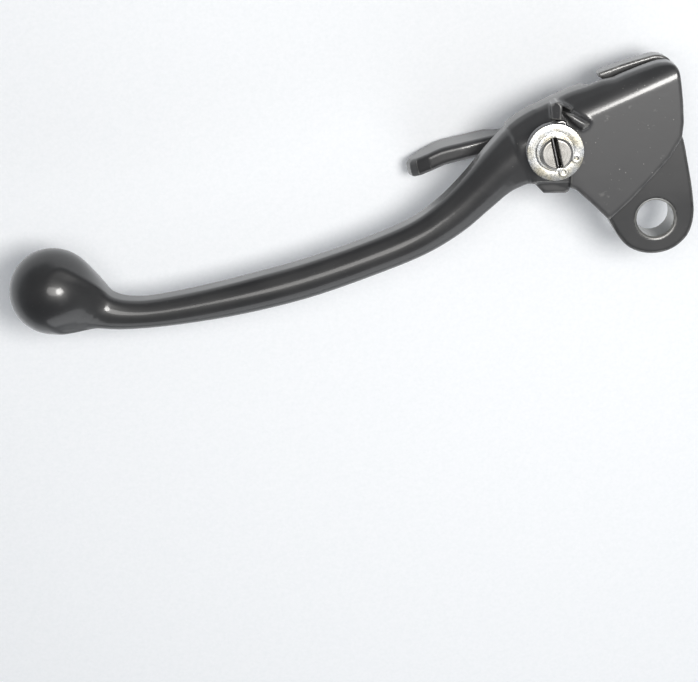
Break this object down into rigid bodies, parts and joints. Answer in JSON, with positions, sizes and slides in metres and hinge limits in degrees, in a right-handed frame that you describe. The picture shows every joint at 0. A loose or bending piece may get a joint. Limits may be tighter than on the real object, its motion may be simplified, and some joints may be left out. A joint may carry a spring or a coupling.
{
  "type": "clutch lever",
  "caption": "Hand lever with a ball end, curved ridged blade, pivot ear and cable seat, carrying a small spring-returned parking lock lever on a cross shaft.",
  "frame": {"origin": "on the axis of the pivot hole, half way through the lever's thickness", "axes": "+Z along the pivot axis towards the side that carries the spring, -X towards the ball end, +Y to the front of the lever"},
  "size_m": [0.173, 0.0696, 0.0411],
  "materials": {
    "lever_paint": "gloss black paint on a cast aluminium lever",
    "lock_paint": "gloss black paint on a small casting",
    "shaft_steel": "bare turned steel",
    "spring_steel": "drawn spring wire",
    "washer_zinc": "bright zinc plate",
    "circlip_zinc": "bright zinc plate"
  },
  "bodies": {
    "lever": {"clutch_lever": "lever_paint", "torsion_spring": "spring_steel"},
    "lock": {"lock_lever": "lock_paint", "lock_shaft": "shaft_steel", "retaining_washer": "washer_zinc", "circlip": "circlip_zinc"}
  },
  "joints": [
    {"name": "lock_pivot", "type": "hinge", "parent": "lever", "child": "lock", "pos_m": [-0.0266, 0.0187, 0], "axis": [0, 0, 1], "range_deg": [0, 32], "stiffness_Nm_per_rad": 0.12, "springref_deg": -14.9, "deforming": ["torsion_spring"]}
  ]
}
